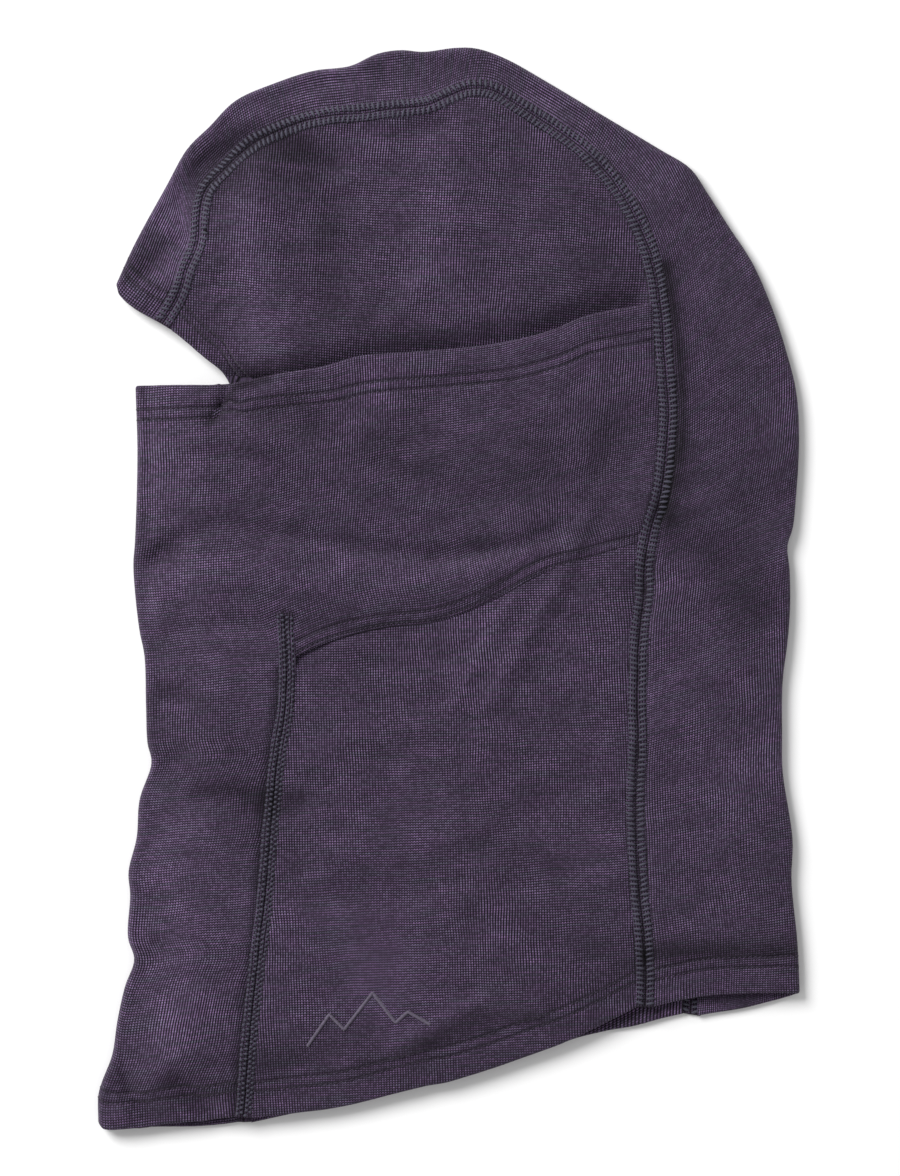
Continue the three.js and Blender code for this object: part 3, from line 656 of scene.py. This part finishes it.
def needleGroup():  # two furrows either side of a stitch line
    tree = bpy.data.node_groups.new("needleFurrows", "ShaderNodeTree")
    tree.interface.new_socket("Spacing", in_out="INPUT", socket_type="NodeSocketFloat")
    for name in ("Furrow", "Shade"):
        tree.interface.new_socket(name, in_out="OUTPUT", socket_type="NodeSocketFloat")
    node, mixColour, calc, plus, minus, times = nodeTools(tree)
    given = tree.nodes.new("NodeGroupInput").outputs
    result = tree.nodes.new("NodeGroupOutput")
    distance = node("ShaderNodeAttribute", attribute_name="stitchLine").outputs["Fac"]
    toRow = minus(calc("ABSOLUTE", distance), times(given["Spacing"], 0.5))
    shade = node("ShaderNodeAttribute", attribute_name="shade").outputs["Fac"]
    tree.links.new(shade, result.inputs["Shade"])
    furrow = calc("EXPONENT", times(calc("POWER", calc("DIVIDE", calc("ABSOLUTE", toRow), 0.7), 2.0), -1.0))
    tree.links.new(furrow, result.inputs["Furrow"])
    return tree


knitSurface, needleFurrows = knitGroup(), needleGroup()
yarn = dict(purple=(0.0575, 0.0355, 0.073, 1), fleck=(0.045, 0.044, 0.064, 1), thread=(0.036, 0.034, 0.054, 1),
            needle=(0.026, 0.018, 0.034, 1), motif=(0.088, 0.07, 0.108, 1), satin=(0.62, 0.61, 0.58, 1),
            wide=0.00099, tall=0.00091)
# Painted shade along the stitch furrows and from the painted shade strokes, with the furrows' bump depth, the bump
# distance and the sheen tint.
paintedShadeAndSurface = dict(furrowDark=0.34, furrowDeep=1.6, paintedShadeGain=0.36, bump=0.00055, sheenTint=(0.62, 0.56, 0.68, 1))


def newMaterial(name, **values):
    material = bpy.data.materials.new(name)
    material.use_nodes = True
    shader = material.node_tree.nodes["Principled BSDF"]
    for key, value in values.items():
        shader.inputs[key.replace("_", " ")].default_value = value
    return material, material.node_tree, shader


def placedGroup(node, tree, **values):
    group = node("ShaderNodeGroup")
    group.node_tree = tree
    for key, value in values.items():
        group.inputs[key.replace("_", " ")].default_value = value
    return group.outputs


def knitMaterial(name, lightness, waleShare=0.6):
    material, tree, shader = newMaterial(name, Roughness=0.9, Specular_IOR_Level=0.18, Sheen_Weight=0.16,
                                         Sheen_Roughness=0.45, Sheen_Tint=paintedShadeAndSurface["sheenTint"])
    node, mixColour, calc, plus, minus, times = nodeTools(tree)
    knit = placedGroup(node, knitSurface, Stitch_Wide=yarn["wide"], Stitch_Tall=yarn["tall"], Yarn=yarn["purple"],
                       Fleck=yarn["fleck"], Fleck_Share=0.3, Lightness=lightness, Wale_Share=waleShare)
    furrow, paintedShadeTone = placedGroup(node, needleFurrows, Spacing=hems["needles"]).values()
    # Painted shade: the cloth's colour darkens along the stitch furrows and follows the painted shade and highlight
    # strokes.
    dark = minus(1.0, times(furrow, paintedShadeAndSurface["furrowDark"]))
    dark = times(dark, plus(1.0, times(paintedShadeTone, paintedShadeAndSurface["paintedShadeGain"])))
    shade = node("ShaderNodeCombineXYZ", X=dark, Y=dark, Z=dark).outputs[0]
    tree.links.new(mixColour(1.0, knit["Color"], shade, "MULTIPLY"), shader.inputs["Base Color"])
    height = minus(knit["Height"], times(furrow, paintedShadeAndSurface["furrowDeep"]))
    bump = node("ShaderNodeBump", Strength=1.0, Distance=paintedShadeAndSurface["bump"], Height=height)
    tree.links.new(bump.outputs[0], shader.inputs["Normal"])
    return material


def threadMaterial(name, colour, twist=900.0, sheen=0.1):
    material, tree, shader = newMaterial(name, Roughness=0.62, Specular_IOR_Level=0.35, Sheen_Weight=sheen)
    node, mixColour = nodeTools(tree)[:2]
    place = node("ShaderNodeTexCoord").outputs["Object"]
    rough = node("ShaderNodeTexNoise", Vector=place, Scale=twist, Detail=2.0).outputs["Fac"]
    lighter = tuple(min(1, c * 1.7) for c in colour[:3]) + (1,)
    darker = tuple(c * 0.6 for c in colour[:3]) + (1,)
    tree.links.new(mixColour(rough, darker, lighter), shader.inputs["Base Color"])
    bump = node("ShaderNodeBump", Strength=0.5, Distance=0.0001, Height=rough)
    tree.links.new(bump.outputs[0], shader.inputs["Normal"])
    return material


# Painted light and shade: the four panels share one yarn, made lighter or darker per panel for how the light falls on
# each panel's knit.
knitHood = knitMaterial("hoodKnit", 0.8, 0.6)
knitCrown = knitMaterial("crownKnit", 0.87, 0.58)
knitNeck = knitMaterial("neckKnit", 0.85, 0.5)
knitFront = knitMaterial("frontKnit", 0.87, 0.42)
knitSeam = knitMaterial("seamKnit", 0.62)
seamThread = threadMaterial("seamThread", yarn["thread"])
needleThread = threadMaterial("needleThread", yarn["needle"], sheen=0.0)
motifThread = threadMaterial("motifThread", yarn["motif"], 700.0, 0.3)
labelSatin = threadMaterial("labelSatin", yarn["satin"], 1500.0, 0.2)
print("materials made")


def upperHeights(field):
    return lambda x, y: sample(field, x, y)


def lowerHeights(x, y):
    return sample(lowerLift, x, y) + sample(lowerRough, x, y)


def maskLowerHeights(x, y):
    return 0 * x + lower["lift"]


# ---- the centre strip, folded round crown and nape ----

seamTuck = 2.7  # how far a panel's edge runs in under the seam
rowsDown = dict(strip=250, hood=110, neck=96, mask=78, throat=104)
across = dict(strip=18, hood=80, neck=76, chin=84, throat=16)

stripInner = beside(crown, seamTuck)
v = np.linspace(0, 1, rowsDown["strip"])
left, right = at(back, v), at(stripInner, v)
widths = np.linalg.norm(right - left, axis=1)
columns = np.array([foldColumns(w, across["strip"]) for w in widths])
share = columns / widths[:, None]
plan = mixRows(left, right, share)
browEdge = at(pinned(stretch(face, 0, nearest(face, stripInner[0])), left[0], right[0]), share[0])
plan += (browEdge - plan[0])[None] * np.exp(-v * 60)[:, None, None]
lowEdge = at(pinned(stretch(hem, 1, nearest(hem, right[-1])), left[-1], right[-1]), share[-1])
plan += (lowEdge - plan[-1])[None] * np.exp((v - 1) * 60)[:, None, None]
strip = foldedSheet(plan, columns, upperHeights(shellTop), lowerHeights, foldAtRight=True)
strip[..., 3] += widths[:, None]
strip = stitchDistance(strip, "bottom", hems["neckInset"])
strip = stitchDistance(strip, "top", hems["faceInset"])
crownStrip = sheetPiece("crownStrip", hemmed(hemmed(strip, "bottom"), "top", 8), knitCrown)
print("centre strip made")

# ---- sides of the hood and neck ----

crownChin = nearest(crown, chin[-1])
bases = {}


def hoodSheet(upper):
    faceSide = stretch(face, nearest(face, beside(crown, -seamTuck)[0]), 1)
    crownSide = stretch(beside(crown, -seamTuck), 0.0, crownChin)
    lowEdge = pinned(chin, faceSide[-1], crownSide[-1])
    v = np.linspace(0, 1, rowsDown["hood"])
    s = np.linspace(0, 1, across["hood"])
    plan = mixPlan(faceSide, crownSide, None, lowEdge, s, v)
    grid = flatSheet(plan, upperHeights(hoodTop) if upper else lowerHeights, upper, turn=-0.06)
    if upper:
        grid[..., 2] = np.maximum(grid[..., 2], cloth["lowestHood"])  # room for the hem and the right half underneath
    return stitchDistance(grid, "left" if upper else "right", hems["faceInset"])


def neckSheet(upper):
    throatSide = stretch(beside(throat, seamTuck), 0.02, 1)
    crownSide = stretch(beside(crown, -seamTuck), crownChin - 0.018, 1)
    topEdge = pinned(chin, throatSide[0], crownSide[0])
    v = np.linspace(0, 1, rowsDown["neck"])
    s = np.linspace(0, 1, across["neck"])
    low = stretch(hem, nearest(hem, throatSide[-1]), nearest(hem, crownSide[-1]))
    plan = mixPlan(throatSide, crownSide, topEdge, low, s, v)
    tucked = shellTop - 1.3 * ease(belowChin, 1.5, -3) * ease(-pastEar, 1, 5)
    grid = flatSheet(plan, upperHeights(tucked) if upper else lowerHeights, upper, turn=0.04)
    return stitchDistance(grid, "bottom", hems["neckInset"])


for upper, side in ((True, "Left"), (False, "Right")):
    bases["hood" + side], bases["neck" + side] = hoodSheet(upper), neckSheet(upper)
hoodLeft = sheetPiece("hoodSideLeft", hemmed(bases["hoodLeft"], "left"), knitHood)
hoodRight = sheetPiece("hoodSideRight", hemmed(bases["hoodRight"], "right"), knitHood)
neckLeft = sheetPiece("neckSideLeft", hemmed(bases["neckLeft"], "bottom"), knitNeck)
neckRight = sheetPiece("neckSideRight", hemmed(bases["neckRight"], "bottom"), knitNeck)
print("sides made")

# ---- the front piece: mask above, throat strip below ----

frontSplit = nearest(front, np.array([front[0][0], chin[0][1] - 4]))
maskRear = beside(crown, -seamTuck)


def throatSheet():
    left = stretch(front, frontSplit, 1)
    right = stretch(beside(throat, -seamTuck), nearest(throat, chin[0]), 1)
    v = np.linspace(0, 1, rowsDown["throat"])
    leftAt, rightAt = at(left, v), at(right, v)
    widths = np.linalg.norm(rightAt - leftAt, axis=1)
    columns = np.array([foldColumns(w, across["throat"]) for w in widths])
    low = stretch(hem, 0, nearest(hem, right[-1]))
    plan = mixRows(leftAt, rightAt, columns / widths[:, None], low)
    return foldedSheet(plan, columns, upperHeights(maskTop), maskLowerHeights, foldAtRight=False), plan


def maskToMeet(throatBase):  # the mask, whose lowest row runs along the throat's top and then the chin seam
    left = stretch(front, 0, frontSplit)
    right = stretch(maskRear, nearest(maskRear, ear), crownChin + 0.006)
    rows, half = rowsDown["mask"], (throatBase.shape[1] - 1) // 2
    v = np.linspace(0, 1, rows)
    leftAt, rightAt = at(left, v), at(right, v)
    widths = np.linalg.norm(rightAt - leftAt, axis=1)
    throatColumns = foldColumns(float(np.linalg.norm(throatPlan[0, -1] - throatPlan[0, 0])), half - 4)
    chinEdge = evenly(pinned(beside(chin, -3), throatPlan[0, -1], rightAt[-1]), across["chin"])
    onChin = np.linspace(0, 1, across["chin"])[1:]
    low = np.vstack([throatPlan[0], chinEdge[1:]])
    columns = []
    for w, k in zip(widths, v):
        upperSpread = foldColumns(w, len(low) - 5)
        lowerSpread = np.r_[throatColumns, throatColumns[-1] + (w - throatColumns[-1]) * onChin]
        columns.append(upperSpread * (1 - k) + lowerSpread * k)
    columns = np.array(columns)
    share = columns / widths[:, None]
    plan = mixRows(leftAt, rightAt, share)
    upperEdge = at(pinned(maskEdge, leftAt[0], rightAt[0]), share[0]) - plan[0]
    vv = v[:, None, None]
    plan = plan + upperEdge[None] * (1 - vv) + (low - plan[-1])[None] * vv ** 1.5
    return foldedSheet(plan, columns, upperHeights(maskTop), maskLowerHeights, foldAtRight=False)


throatBase, throatPlan = throatSheet()
maskBase = maskToMeet(throatBase)
throatBase[..., 4] += maskBase[-1, 60, 4]
throatBase = stitchDistance(throatBase, "bottom", hems["neckInset"])
maskBase = stitchDistance(maskBase, "top", maskInset(maskBase))
chinMarks = stitchDistance(maskBase.copy(), "bottom", 3.1)[..., 5]
middle, half = (maskBase.shape[1] - 1) // 2, (throatBase.shape[1] - 1) // 2
maskBase[:, :middle - half, 5] = chinMarks[:, :middle - half]
maskBase[:, middle + half + 1:, 5] = chinMarks[:, middle + half + 1:]
frontPiece = sheetPiece("maskAndThroat", hemmed(maskBase, "top", 14), knitFront, also=hemmed(throatBase, "bottom"))
print("front made")

# ---- flatlock seams ----
# A raised band with a groove along its middle and short slanted stitches in two columns, or in four.

flat = dict(pitch=1.85, rungLong=2.9, rungWide=1.1, rungTall=0.85, pair=(1.62,), four=(0.85, 2.35), slant=13,
            proud=0.5, crownWide=1.18, bandThick=0.9, step=2.4, inside=26.0,
            offsets=(3.4, 3.0, 2.2, 1.4, 0.6, 0.0, -0.6, -1.4, -2.2, -3.0, -3.4),
            profile=(-0.45, 0.1, 0.45, 0.5, 0.25, -0.2, 0.25, 0.5, 0.45, 0.1, -0.45))


def slopeOf(heights, x, y, step=1.5):
    dx = (heights(x + step, y) - heights(x - step, y)) / (2 * step)
    dy = (heights(x, y + step) - heights(x, y - step)) / (2 * step)
    return unit(np.stack([-dx, -dy, np.ones_like(dx)], -1))


def seamPlaces(line, offset, pitch, shift=0.0):
    count = int((reach(line) - shift) / pitch)
    t = (np.arange(count) + 0.5 + shift / pitch) * pitch / reach(line)
    along = unit(at(np.gradient(line, axis=0), t))
    return at(line, t) + offset * leftOf(along), along


def beads(name, places, a, b, c, material):  # one small rounded stitch at each place, with its three half axes
    bm = bmesh.new()
    bmesh.ops.create_uvsphere(bm, u_segments=6, v_segments=4, radius=1)
    for f in bm.faces:
        f.smooth = True
    blocks = [list(bm.verts)]
    shape = np.array([vert.co[:] for vert in bm.verts])
    while len(blocks) < len(places):
        chosen = blocks[:len(places) - len(blocks)]
        verts = [vert for block in chosen for vert in block]
        sides = list(dict.fromkeys(e for vert in verts for e in vert.link_edges))
        faces = list(dict.fromkeys(f for e in sides for f in e.link_faces))
        copies = bmesh.ops.duplicate(bm, geom=verts + sides + faces)["vert_map"]
        blocks += [[copies[vert] for vert in block] for block in chosen]
    bm.verts.index_update()
    order = np.array([vert.index for block in blocks for vert in block])
    mesh = bpy.data.meshes.new(name)
    bm.to_mesh(mesh)
    bm.free()
    points = (places[:, None] + shape[None, :, :1] * a[:, None] + shape[None, :, 1:2] * b[:, None]
              + shape[None, :, 2:] * c[:, None]).reshape(-1, 3)
    ordered = np.empty_like(points)
    ordered[order] = points
    mesh.vertices.foreach_set("co", (ordered * 0.001).astype(np.float32).ravel())
    mesh.update()
    return placed(name, mesh, material)


def flatlock(name, line, upper, heights, columns, inside=0.0, wide=1.0):  # inside: length whose reverse shows too
    random = np.random.default_rng(len(name))
    offsets, profile = np.array(flat["offsets"]) * wide, np.array(flat["profile"])
    middle = evenly(line, int(reach(line) / flat["step"]))
    side = leftOf(unit(np.gradient(middle, axis=0)))
    plan = middle[:, None] + side[:, None] * -offsets[None, :, None]
    x, y = plan[..., 0], plan[..., 1]
    length = np.r_[0, np.cumsum(np.linalg.norm(np.diff(middle, axis=0), axis=1))][:, None] + 0 * x
    if upper:
        z = heights(x, y) + profile
    else:
        x, y = lowerPlace(x, y)
        z = np.maximum(heights(x, y) - profile - 0.1, 0.02)
    grid = np.stack([x, y, z, -offsets + 0 * x, -length, np.full(x.shape, cloth["unmarked"])], -1)
    band = sheetPiece(name + "Band", grid if upper else grid[:, ::-1], knitSeam, flat["bandThick"])
    found = []
    for facing, last in ((1, 0), (-1, inside)) if inside else ((1, 0),):
        for k, column in enumerate((*columns, *(-c for c in columns))):
            sign = 1 if column > 0 else -1
            shift = flat["pitch"] * (0.5 * (sign > 0) + 0.3 * (k % 2))
            places, ways = seamPlaces(line, column * wide, flat["pitch"], shift)
            if last:
                places, ways = (part[-int(last / flat["pitch"]):] for part in (places, ways))
            px, py = places[:, 0], places[:, 1]
            if upper:
                pz, up = heights(px, py) + flat["proud"], slopeOf(heights, px, py)
            else:
                px, py = lowerPlace(px, py)
                up = slopeOf(heights, px, py) * -facing
                pz = np.maximum(heights(px, py) - flat["proud"], 0.45) if facing > 0 else heights(px, py) + 1.3
            acrossSeam = np.concatenate([-ways[:, 1:], ways[:, :1], 0 * ways[:, :1]], 1)
            acrossSeam = unit(acrossSeam - up * (acrossSeam * up).sum(1)[:, None])
            lengthwise = np.cross(up, acrossSeam)
            turn = (math.radians(flat["slant"]) * sign + 0.1 * random.standard_normal(len(px)))[:, None]
            a = acrossSeam * np.cos(turn) + lengthwise * np.sin(turn)
            long = flat["rungLong"] / len(columns) * wide / 2 * (1 + 0.07 * random.standard_normal(len(px)))[:, None]
            centre = np.stack([px, py, pz], 1) + acrossSeam * 0.12 * random.standard_normal(len(px))[:, None]
            found.append((centre, a * long, np.cross(up, a) * flat["rungWide"] / 2, up * flat["rungTall"] / 2))
    return band, beads(name + "Stitches", *(np.concatenate(part) for part in zip(*found)), seamThread)


def longer(line, start, end):
    first, last = unit(line[0] - line[4]), unit(line[-1] - line[-5])
    return evenly(np.vstack([line[0] + first * start, line, line[-1] + last * end]), len(line))


crownLine = longer(crown, 0.8, 0.8)
throatLine = longer(throat, 0.0, 0.8)
seamPairs = {
    "crownSeamLeft": flatlock("crownSeamLeft", crownLine, True, upperHeights(seamTop), flat["pair"],
                              wide=flat["crownWide"]),
    "crownSeamRight": flatlock("crownSeamRight", crownLine, False, lowerHeights, flat["pair"],
                               inside=flat["inside"], wide=flat["crownWide"]),
    "throatSeamLeft": flatlock("throatSeamLeft", throatLine, True, upperHeights(maskTop), flat["four"]),
    "throatSeamRight": flatlock("throatSeamRight", throatLine, False, lowerHeights, flat["four"]),
}
print("flatlock seams made")

# ---- two-needle stitching ----

needle = dict(pitch=1.9, long=1.45, wide=0.52, tall=0.45, slant=9, proud=0.0)


def rowLine(grid, side, distance):
    stack = turned(np.concatenate([grid, normalsOf(grid)], -1), side)
    return insideEdge(stack, distance)[:, [0, 1, 2, 6, 7, 8]]


def needleRows(name, lines):
    rows = [evenly(line, max(2, int(reach(line[:, :3]) / needle["pitch"])), 3) for line in lines]
    ways = unit(np.concatenate([np.gradient(row[:, :3], axis=0) for row in rows]))
    rows = np.concatenate(rows)
    up = unit(rows[:, 3:])
    turn = math.radians(needle["slant"])
    side = np.cross(up, ways)
    a = ways * math.cos(turn) + side * math.sin(turn)
    return beads(name, rows[:, :3] + up * needle["proud"], a * needle["long"] / 2,
                 np.cross(up, a) * needle["wide"] / 2, up * needle["tall"] / 2, needleThread)


def pairsAt(inset, *edges):
    return [rowLine(grid, side, inset + sign * hems["needles"] / 2) for grid, side in edges for sign in (-1, 1)]


maskRows = needleRows("maskEdgeStitches", pairsAt(maskInset(maskBase), (maskBase, "top")))
faceRows = needleRows("faceEdgeStitches", pairsAt(hems["faceInset"], (bases["hoodLeft"], "left"),
                                                  (bases["hoodRight"], "right"), (strip, "top")))
hemRows = needleRows("neckHemStitches", pairsAt(hems["neckInset"], (bases["neckLeft"], "bottom"),
                                                (bases["neckRight"], "bottom"), (strip, "bottom"),
                                                (throatBase, "bottom")))


def chinRows(upper):
    made = []
    for inset, trim in ((1.3, 9), (4.9, 2)):
        whole = rowLine(maskBase, "bottom", inset)
        made.append(whole[middle + half + 2:-trim] if upper else whole[trim:middle - half - 2])
    return made


chinLeft = needleRows("chinStitchesLeft", chinRows(True))
chinRight = needleRows("chinStitchesRight", chinRows(False))
print("stitching made")

# ---- embroidery above the hem, and the blank care label inside the neck ----

embroidery = dict(wide=1.45, pitch=0.5, tall=1.2, lean=28, count=160, lift=0.12,
                  line=[(-52, -169), (-44, -157.5), (-38.5, -163), (-28, -149.5), (-19.5, -160.5), (-15, -156.5),
                        (-7, -161)])
motifLine = evenly(fromPattern(embroidery["line"]), embroidery["count"])
motifWay = unit(np.gradient(motifLine, axis=0))
motifUp = slopeOf(upperHeights(shellTop), motifLine[:, 0], motifLine[:, 1])
lean = math.radians(embroidery["lean"])
motifAcross = np.stack([-motifWay[:, 1] * math.cos(lean) + motifWay[:, 0] * math.sin(lean),
                        motifWay[:, 0] * math.cos(lean) + motifWay[:, 1] * math.sin(lean), 0 * motifWay[:, 0]], 1)
motifAcross = unit(motifAcross - motifUp * (motifAcross * motifUp).sum(1)[:, None])
motif = beads("embroideredMotif",
              np.column_stack([motifLine, sample(shellTop, motifLine[:, 0], motifLine[:, 1]) + embroidery["lift"]]),
              motifAcross * embroidery["wide"] / 2, np.cross(motifUp, motifAcross) * embroidery["pitch"] * 0.62,
              motifUp * embroidery["tall"] / 2, motifThread)


tab = dict(loop=0.45, under=1.2, sag=0.25, thick=0.2, rows=25, columns=11)


def careLabel():
    low, high = (np.array(corner) * 1000 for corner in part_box("care_label"))
    t = np.linspace(0, 1, tab["rows"])
    wide = high[0] - low[0]
    folded = np.where(t < 0.5, 1 - 2 * t, 2 * t - 1)
    x = high[0] - wide * (1 - folded)[:, None] + np.zeros((1, tab["columns"]))
    y = np.linspace(high[1], low[1], tab["columns"])[None] + np.zeros((tab["rows"], 1))
    under = sample(shellTop, x, y) - cloth["thick"] - tab["under"]
    sag = tab["sag"] * (1 + np.sin(y * 0.5)) * (1 - folded)[:, None]
    z = under + tab["loop"] * np.tanh((t - 0.5) * 9)[:, None] - sag
    grid = np.stack([x, y, z, 2 * wide * t[:, None] + 0 * y, y, cloth["unmarked"] + 0 * y], -1)
    return sheetPiece("careLabel", grid.transpose(1, 0, 2), labelSatin, tab["thick"])


label = careLabel()

# ---- floor, light and camera ----

studio = dict(floorTone=0.9, floorSize=4, floorDrop=0.0003, key=96.0, keySize=1.55, keyPlace=(-1.62, 1.42, 1.86),
              sky=0.52, centre=(0.0008, -0.0004), distance=2.0, midHeight=0.006, frameTall=435.12, sensor=36)


def stageSet():
    bm = bmesh.new()
    bmesh.ops.create_grid(bm, x_segments=1, y_segments=1, size=studio["floorSize"])
    bmesh.ops.translate(bm, verts=bm.verts, vec=(0, 0, -studio["floorDrop"]))
    mesh = bpy.data.meshes.new("floor")
    bm.to_mesh(mesh)
    bm.free()
    paper = newMaterial("whitePaper", Base_Color=(studio["floorTone"],) * 3 + (1,), Roughness=0.9,
                        Specular_IOR_Level=0.1)[0]
    floor = placed("floor", mesh, paper)
    floor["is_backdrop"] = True
    scene = bpy.context.scene
    scene.world = bpy.data.worlds.new("studioSky")
    scene.world.use_nodes = True
    background = scene.world.node_tree.nodes["Background"].inputs
    background["Color"].default_value, background["Strength"].default_value = (1, 1, 1, 1), studio["sky"]
    lamp = bpy.data.lights.new("softbox", "AREA")
    lamp.shape = "DISK"
    lamp.size = studio["keySize"]
    lamp.energy = studio["key"]
    softbox = bpy.data.objects.new("softbox", lamp)
    scene.collection.objects.link(softbox)
    softbox.location = studio["keyPlace"]
    softbox.rotation_euler = (-Vector(softbox.location)).to_track_quat("-Z", "Y").to_euler()
    eye = bpy.data.cameras.new("camera")
    eye.lens = studio["sensor"] * studio["distance"] / (studio["frameTall"] * 0.001)
    eye.clip_end = 20
    camera = bpy.data.objects.new("camera", eye)
    camera.location = (*studio["centre"], studio["distance"] + studio["midHeight"])
    scene.collection.objects.link(camera)
    scene.camera = camera
    scene.view_settings.view_transform = "Standard"


stageSet()

# The hood's pieces go on the hood's body, the front piece and its stitching are baked where they lie, and the CAD
# parts they stand in for are hidden.
crownSeams = [*seamPairs["crownSeamLeft"], *seamPairs["crownSeamRight"]]
throatSeams = [*seamPairs["throatSeamLeft"], *seamPairs["throatSeamRight"]]
for piece in (crownStrip, hoodLeft, hoodRight, neckLeft, neckRight, *crownSeams, faceRows, hemRows, motif, label):
    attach(piece, "hood")
for piece in (frontPiece, maskRows, chinLeft, chinRight, *throatSeams):
    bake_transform(piece)
bands = [pair[0] for pair in seamPairs.values()]
standIns = {
    crownStrip: ["crown_strip"], hoodLeft: ["left_hood_panel"], hoodRight: ["right_hood_panel"],
    neckLeft: ["left_neck_panel"], neckRight: ["right_neck_panel"],
    frontPiece: ["front_throat_panel", "mask_rim", "mask_slack_cloth"],
    bands[0]: ["left_crown_flatlock"], bands[1]: ["right_crown_flatlock"],
    bands[2]: ["left_throat_flatlock"], bands[3]: ["right_throat_flatlock"],
    chinLeft: ["left_chin_stitching"], chinRight: ["right_chin_stitching"], maskRows: ["mask_edge_stitching"],
    faceRows: ["face_edge_stitching"], hemRows: ["neck_hem_stitching"], motif: ["embroidered_motif"],
    label: ["care_label"],
}
for piece, nodes in standIns.items():
    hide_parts(*nodes)
